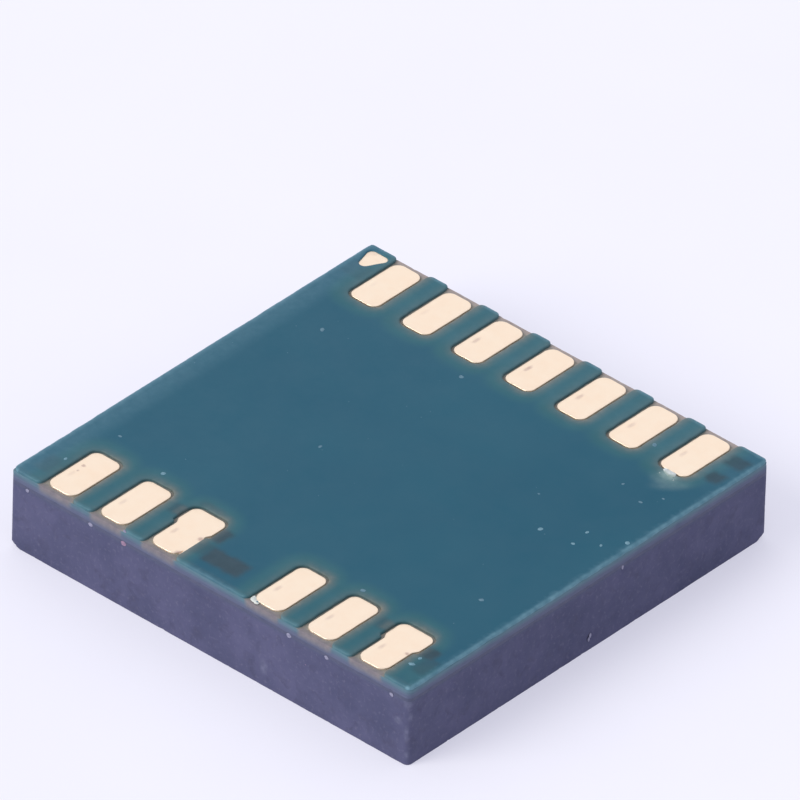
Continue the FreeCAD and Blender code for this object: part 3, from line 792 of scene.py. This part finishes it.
RUBS = [                  # side, place along it, height, half width, half height
    ("near", 2.47, 0.36, 0.030, 0.10), ("near", 2.48, 0.12, 0.030, 0.06),
    ("near", 0.69, 0.22, 0.050, 0.09), ("near", 2.36, 0.47, 0.050, 0.04),
    ("right", -2.47, 0.55, 0.030, 0.05), ("near", 2.485, 0.70, 0.060, 0.06),
]


def face_place(side, along, z):
    """Point on a side of the package."""
    return {"near": (along, -HALF, z), "far": (along, HALF, z),
            "right": (HALF, along, z), "left": (-HALF, along, z)}[side]


def side_wear(x, y, z):
    """How far the sawn side lies inside the package's outline at a point of it."""
    depth = 0.0018 + 0.0012 * ripple(x, y, z, 2.4, 3)
    depth += 0.0011 * ripple(x, y, z * 0.6, 22, 5) + 0.0006 * ripple(x, y, z, 45, 9)
    depth += 0.006 * blend(ripple(x, y, z, 15, 11), 0.42, 0.75)
    for side, along, height, radius, deep in DENTS:
        far = math.dist((x, y, z), face_place(side, along, height)) / radius
        depth += deep * blend(1.2 - far, 0, 0.9)
    return max(0.0002, depth)


def broken_corners(points):
    """Cuts each chipped corner back to a rough plane."""
    for side_x, side_y, deep in CHIPS:
        corner = np.array([side_x * HALF, side_y * HALF, 0.0])
        normal = np.array(CHIP_LEAN) * (side_x, side_y, 1)
        normal = normal / np.linalg.norm(normal)
        rough = np.array([0.004 * ripple(*p, 30, side_x + 2 * side_y) for p in points])
        over = (points - corner + normal * deep) @ normal - rough
        cut = (np.linalg.norm(points - corner, axis=1) < CHIP_REACH) & (over > 0)
        points[cut] -= np.outer(over, normal)[cut]
    return points


def heights_between(low, high, step, rim):
    """Levels up a side, closer together in the rims at its two edges."""
    body = np.linspace(low + rim, high - rim, max(2, round((high - low - 2 * rim) / step)))
    fine = [share * rim for share in (0.0, 0.12, 0.35, 0.65)]
    return [*(low + r for r in fine), *body, *(high - r for r in reversed(fine))]


def side_rings(low, high, heights, edges, corner):
    """Rings up the sides of the package, with its lower and upper edge rounded and worn."""
    loop = outline([(-HALF, -HALF, corner), (HALF, -HALF, BLUNT_CORNER + corner / 2),
                    (HALF, HALF, corner), (-HALF, HALF, corner)], SIDE_STEP)
    normals = inward(loop)
    rings = []
    for z in heights:
        rim, edge = min((z - low, edges[0]), (high - z, edges[1]))
        rounding = edge * (1 - math.sqrt(max(0.0, 1 - (1 - min(1.0, rim / edge)) ** 2)))
        ring = []
        for (x, y), (nx, ny) in zip(loop, normals):
            bite = 0.5 + 0.5 * ripple(x, y, high, 9, low + 3)
            inset = side_wear(x, y, z) + rounding * (0.4 + 1.2 * bite)
            ring.append((x + nx * inset, y + ny * inset, z))
        rings.append(np.array(ring))
    return rings


def close_rim(rings, low, high):
    """Adds the narrow flat rims of the upper and lower face."""
    limit = HALF - FLANGE
    lower, upper = rings[0].copy(), rings[-1].copy()
    lower[:, :2] = np.clip(lower[:, :2], -limit, limit)
    upper[:, :2] = np.clip(upper[:, :2], -limit, limit)
    lower[:, 2], upper[:, 2] = low, high
    return [lower, *rings, upper]


def cad_without_sides(node):
    """The faces of a CAD plate but its outer sides, drawn in to the rebuilt rim."""
    def kept(corners):
        return not any((np.abs(corners[:, k] - s * HALF) < FLUSH).all()
                       for k in (0, 1) for s in (-1, 1))

    solid = Solid()
    solid.add_cad(node, kept)
    flat = solid.points[:, :2]
    np.clip(flat, FLANGE - HALF, HALF - FLANGE, out=flat)
    return solid


def sawn_plate(node, low, high, step, rim, edges, corner):
    """CAD plate with rebuilt sides, and where their points begin. Edges are how far the lower
    and the upper one are rounded."""
    solid = cad_without_sides(node)
    start = len(solid.points)
    rings = side_rings(low, high, heights_between(low, high, step, rim), edges, corner)
    solid.add_rings(close_rim(rings, low, high))
    return solid, start


def mould_smear_and_highlight(x, y, z):
    """Pale rub marks on the near right corner and the near side, and painted highlight in a pale
    band down each vertical corner.
    """
    shade = 0.0
    for side, along, height, wide, tall in RUBS:
        place = face_place(side, along, height)
        flat = math.dist((x, y), place[:2]) / wide
        shade = max(shade, blend(1.3 - math.hypot(flat, (z - height) / tall), 0, 1.0))
    # painted highlight: a pale band down each rounded vertical corner
    corner = math.dist((abs(x), abs(y)), (HALF, HALF))
    shade = max(0.75 * shade, 0.30 * blend(0.05 - corner, 0, 0.05))
    return shade * (0.75 + 0.25 * ripple(x, y, z, 25))


def mould_upper(x, y, z):
    """Greyer along the upper edge."""
    return blend(z, MOULD_TOP - 0.045, MOULD_TOP + 0.01)


def make_mould():
    solid, start = sawn_plate("mould_compound", 0.0, MOULD_TOP, step=0.022, rim=0.010,
                              edges=(0.010, 0.003), corner=0.030)
    solid.points[start:] = broken_corners(solid.points[start:])
    make_piece("mould_body", solid, mould_grain,
               {"smear_and_highlight": mould_smear_and_highlight, "upper": mould_upper}, crease=55,
               replaces="mould_compound")


def in_mouth(x, y, margin):
    """1 between the sides of a window, falling to 0 at the margin outside them."""
    if abs(y) < WINDOW_INNER - 0.05:
        return 0.0
    return blend(WINDOW_HALF + margin - abs(window_side(x, y)), 0, 0.05)


def laminate_mouth(x, y, z):
    """1 on the side of the laminate below the mouth of a window."""
    uneven = 0.03 * ripple(x, y, z, 9, 8)
    return (in_mouth(x, y, 0.03 + uneven) * blend(abs(y), HALF - 0.07, HALF - 0.045)
            * blend(z, CORE_TOP - 0.105, CORE_TOP - 0.02))


def laminate_face(x, y, z):
    """1 on the upper face of the laminate, save its sawn rim between the windows."""
    off_rim = blend(HALF - max(abs(x), abs(y)), 0.012, 0.03)
    return max(in_mouth(x, y, 0.05), off_rim) * blend(z, CORE_TOP - 0.004, CORE_TOP - 0.0005)


def laminate_height(x, y, z):
    """Greener towards the upper edge."""
    return blend(z, CORE_LOW + 0.02, CORE_TOP)


def laminate_far(x, y, z):
    """Lighter in the mouths on the far side."""
    return blend(y, HALF - 0.10, HALF - 0.06)


def make_laminate():
    solid, _ = sawn_plate("laminate_core", CORE_LOW, CORE_TOP, step=0.014, rim=0.010,
                          edges=(0.001, 0.006), corner=0.032)
    tints = {"mouth": laminate_mouth, "height": laminate_height, "face": laminate_face,
             "far": laminate_far}
    make_piece("laminate_board", solid, laminate_side, tints, crease=55,
               replaces="laminate_core")


def make_inner_mask():
    solid, _ = sawn_plate("inner_solder_mask", MOULD_TOP, CORE_LOW, step=0.012, rim=0.004,
                          edges=(0.001, 0.001), corner=0.031)
    make_piece("mask_inner_sheet", solid, inner_mask, crease=55,
               replaces="inner_solder_mask")


# Specks and residue

SPECK_THICK = 0.0014      # half thickness
MASK_SPECKS = [           # x, y, half length, bright
    (-0.444, 1.483, 0.028, 0), (-1.890, 1.137, 0.030, 0), (-0.650, -0.259, 0.024, 0),
    (2.089, 1.164, 0.022, 0), (1.780, 1.265, 0.018, 0), (2.427, 0.598, 0.030, 1),
    (2.046, 0.465, 0.024, 1), (2.278, 0.398, 0.020, 1), (2.069, 0.239, 0.021, 1),
    (1.698, 0.200, 0.028, 1), (2.046, -1.009, 0.026, 0), (-1.416, -1.593, 0.026, 1),
    (-2.104, -1.437, 0.022, 0), (-2.229, -2.053, 0.022, 1), (1.157, -1.663, 0.028, 0),
    (1.581, 1.933, 0.030, 0), (2.245, -2.080, 0.022, 1), (2.250, -2.198, 0.034, 1),
    (0.570, -2.470, 0.012, 0), (2.206, 1.351, 0.016, 0), (1.319, 0.604, 0.014, 0),
]
GRAIN_COUNT = 26          # finer ones, anywhere between the rows
FLECK_INSET, FLECK_THICK = 0.006, 0.0055      # middle below the sawn side, half thickness
SIDE_FLECKS = [           # side, along, height, half size, rosy
    ("near", -2.302, 0.722, 0.026, 0), ("near", -1.504, 0.738, 0.030, 0),
    ("near", -1.088, 0.731, 0.036, 1), ("near", 0.988, 0.735, 0.034, 0),
    ("near", 1.461, 0.721, 0.026, 0), ("near", 2.271, 0.715, 0.028, 0),
    ("near", -1.075, 0.876, 0.020, 0), ("near", 1.211, 0.512, 0.014, 1),
    ("right", 0.036, 0.160, 0.028, 0), ("right", 0.018, 0.126, 0.026, 0),
    ("right", 0.465, 0.721, 0.026, 0),
]
FILM_EDGE = [             # x, y, corner radius of the film at the inner end of land 7
    (1.885, 1.748, 0.008), (1.890, 1.700, 0.016), (1.930, 1.672, 0.020), (1.995, 1.648, 0.020),
    (2.045, 1.662, 0.016), (2.055, 1.700, 0.014), (2.030, 1.748, 0.008),
]
FILM_STEP, FILM_GRID = 0.008, 0.012
FILM_ROWS = [(0.0, 0.0030), (0.003, 0.0010), (0.008, 0.0)]
CRUMBS = [                # x, y, half length: beside the film of residue
    (1.905, 1.640, 0.007), (2.075, 1.640, 0.007),
]
CORNER_FLAKES = [         # x, y, half length: at the outer corner of land 10
    (0.508, -2.448, 0.058), (0.548, -2.462, 0.046), (0.490, -2.420, 0.036),
]
FLAKE_LEVEL, FLAKE_THICK, FLAKE_TURN = 0.874, 0.012, -0.4


def add_fleck(solid, centre, sizes, seed, turn=0.0):
    """Small crumb with an uneven surface, flattened to its three half sizes."""
    rows, columns = 6, 10
    rings = []
    for r in range(rows + 1):
        polar = math.pi * (0.04 + 0.92 * r / rows) - math.pi / 2
        ring = []
        for c in range(columns):
            angle = 2 * math.pi * c / columns
            ray = Vector((math.cos(polar) * math.cos(angle), math.cos(polar) * math.sin(angle),
                          math.sin(polar)))
            size = 0.78 + 0.22 * noise.noise(ray * 1.9 + Vector((seed, seed * 0.7, 0)))
            ray = Vector(a * b for a, b in zip(ray, sizes)) * size
            ray.rotate(Matrix.Rotation(turn, 3, "Z"))
            ring.append(tuple(Vector(centre) + ray))
        rings.append(np.array(ring))
    solid.add_rings(rings)
    solid.add(rings[0], [tuple(reversed(range(columns)))])
    solid.add(rings[-1], [tuple(range(columns))])


def speck_level(x, y):
    """Middle of a speck on the mask, kept below the top of the CAD part."""
    return min(mask_level(x, y) + 0.0006, PACKAGE_TOP - 0.0002 - SPECK_THICK)


def make_specks():
    """Distinct specks and finer grains that lie on the mask."""
    pale, faint = Solid(), Solid()
    for i, (x, y, half, bright) in enumerate(MASK_SPECKS):
        sizes = (half * 1.25, half * rng.uniform(0.8, 1.2), SPECK_THICK)
        add_fleck(pale if bright else faint, (x, y, speck_level(x, y)), sizes, i * 2.3,
                  rng.uniform(0, 3.1))
    for i in range(GRAIN_COUNT):
        x, y = rng.uniform(-2.4, 2.4), rng.uniform(-1.6, 1.6)
        half = rng.uniform(0.004, 0.008)
        add_fleck(faint, (x, y, mask_level(x, y) + 0.0004), (half, half * 0.7, 0.0012),
                  i * 1.1, rng.uniform(0, 3.1))
    make_piece("mask_specks_pale", pale, dust)
    make_piece("mask_specks_faint", faint, dust_faint)


def make_side_flecks():
    """Pale flecks of glass in the sawn sides, and two rosy ones."""
    glassy, rosy = Solid(), Solid()
    for i, (side, along, z, half, pink) in enumerate(SIDE_FLECKS):
        x, y, _ = face_place(side, along, z)
        if side == "near":
            centre, sizes = (x, y + FLECK_INSET, z), (half * 1.15, FLECK_THICK, half)
        else:
            centre, sizes = (x - FLECK_INSET, y, z), (FLECK_THICK, half * 0.8, half * 1.2)
        add_fleck(rosy if pink else glassy, centre, sizes, i * 3.1)
    make_piece("side_flecks_glass", glassy, flake)
    make_piece("side_flecks_rosy", rosy, flake_rosy)


def film_level(x, y):
    """Level of the film of residue, which slopes down to the land."""
    slope = 0.0095 * blend(y, 1.728, 1.748)
    return PACKAGE_TOP - 0.0022 + 0.0007 * ripple(x, y, 0, 24) - slope


def film_thin(x, y, z):
    """Thinner away from the land."""
    return blend(1.715 - y + 0.02 * ripple(x, y, 0, 20), 0, 0.06)


def make_residue():
    """Pale film and crumbs beside land 7, and flakes at the corner of land 10."""
    film, crumbs = Solid(), Solid()
    edge = worn(outline(FILM_EDGE, FILM_STEP), amount=0.014, seed=3.0)
    add_plate(film, [edge], CORE_TOP, film_level, FILM_ROWS, FILM_GRID)
    make_piece("residue_film", film, residue, {"thin": film_thin}, crease=60)
    for i, (x, y, half) in enumerate(CRUMBS):
        add_fleck(crumbs, (x, y, speck_level(x, y)), (half, half * 0.72, SPECK_THICK), i * 1.9,
                  rng.uniform(0, 3.1))
    for x, y, half in CORNER_FLAKES:
        add_fleck(crumbs, (x, y, FLAKE_LEVEL), (half, half * 0.66, FLAKE_THICK), half * 90,
                  FLAKE_TURN)
    make_piece("residue_crumbs", crumbs, crumb)


make_mould()
make_inner_mask()
make_laminate()
make_mask()
for number in LANDS:
    make_land(number)
make_marker()
make_specks()
make_side_flecks()
make_residue()

BY_SLOT = {"mould": mould_grain, "solder_mask": inner_mask, "laminate": laminate_side,
           "plated_copper": inner_copper, "silicon": silicon, "die_attach": glue,
           "bond_gold": wire_gold}
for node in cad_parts.values():
    for holder in node.material_slots:
        kind = holder.material.name.split(".")[0]
        holder.material = BY_SLOT[kind]


# Floor, light and camera

FLOOR_HALF = 600
SKY_COLOUR, SKY_STRENGTH = (0.86, 0.885, 1.0), 0.76
LAMP_COLOUR = (1.0, 0.985, 0.95)
LAMPS = [                 # name, direction towards it, strength, angular size in degrees
    ("window_light", (-0.35, -0.75, 0.56), 1.8, 35),
    ("back_light", (-0.53, 0.61, 0.59), 0.36, 70),
]
AZIMUTH, ELEVATION, ROLL = 41.02, 35.93, 1.77     # of the camera, in degrees
TARGET = (0, 0, 0.45)
SHIFT_RIGHT, SHIFT_UP, DISTANCE = 0.1005, 0.9515, 238.53
FOCAL_PIXELS, PICTURE_PIXELS, SENSOR = 25542, 800, 36


def make_floor():
    """Plain pale floor that keeps half of the chip's shadow."""
    s = Shader("paper_white")
    colour = s.tones(s.noise(0.25), (0.950, 0.938, 0.975), (0.965, 0.953, 0.985))
    cool = s.tones(s.noise(0.25), (0.845, 0.832, 0.985), (0.865, 0.852, 1.0))
    material = s.finish(colour, s.gloss(1.0, 0.85, 0.95), specular=0.1)
    s.show_white(cool)
    mesh = bpy.data.meshes.new("floor")
    wide = FLOOR_HALF * MM
    mesh.from_pydata([(-wide, -wide, 0), (wide, -wide, 0), (wide, wide, 0), (-wide, wide, 0)],
                     [], [(0, 1, 2, 3)])
    mesh.materials.append(material)
    floor = bpy.data.objects.new("floor", mesh)
    bpy.context.scene.collection.objects.link(floor)


def make_light():
    """Even daylight, a broad window to the near left and a faint one behind."""
    world = bpy.data.worlds.new("soft_studio")
    bpy.context.scene.world = world
    world.use_nodes = True
    sky = world.node_tree.nodes["Background"]
    sky.inputs["Color"].default_value = (*SKY_COLOUR, 1)
    sky.inputs["Strength"].default_value = SKY_STRENGTH
    for name, towards, strength, size in LAMPS:
        lamp = bpy.data.lights.new(name, "SUN")
        lamp.color = LAMP_COLOUR
        lamp.energy, lamp.angle = strength, math.radians(size)
        sun = bpy.data.objects.new(name, lamp)
        sun.rotation_euler = Vector(towards).to_track_quat("Z", "Y").to_euler()
        bpy.context.scene.collection.objects.link(sun)


def make_camera():
    """Distant camera above the near right corner, rolled a little."""
    azimuth, elevation, roll = (math.radians(a) for a in (AZIMUTH, ELEVATION, ROLL))
    back = Vector((math.sin(azimuth) * math.cos(elevation),
                   -math.cos(azimuth) * math.cos(elevation), math.sin(elevation)))
    level = Vector((math.cos(azimuth), math.sin(azimuth), 0))
    up = back.cross(level)
    right = level * math.cos(roll) + up * math.sin(roll)
    top = up * math.cos(roll) - level * math.sin(roll)
    place = Vector(TARGET) + right * SHIFT_RIGHT + top * SHIFT_UP + back * DISTANCE
    data = bpy.data.cameras.new("camera")
    data.sensor_width = SENSOR
    data.lens = FOCAL_PIXELS / PICTURE_PIXELS * SENSOR
    camera = bpy.data.objects.new("camera", data)
    turn = Matrix((right, top, back)).transposed()
    camera.matrix_world = Matrix.Translation(place * MM) @ turn.to_4x4()
    bpy.context.scene.collection.objects.link(camera)
    bpy.context.scene.camera = camera


make_floor()
make_light()
make_camera()
bpy.context.scene.view_settings.view_transform = "Standard"
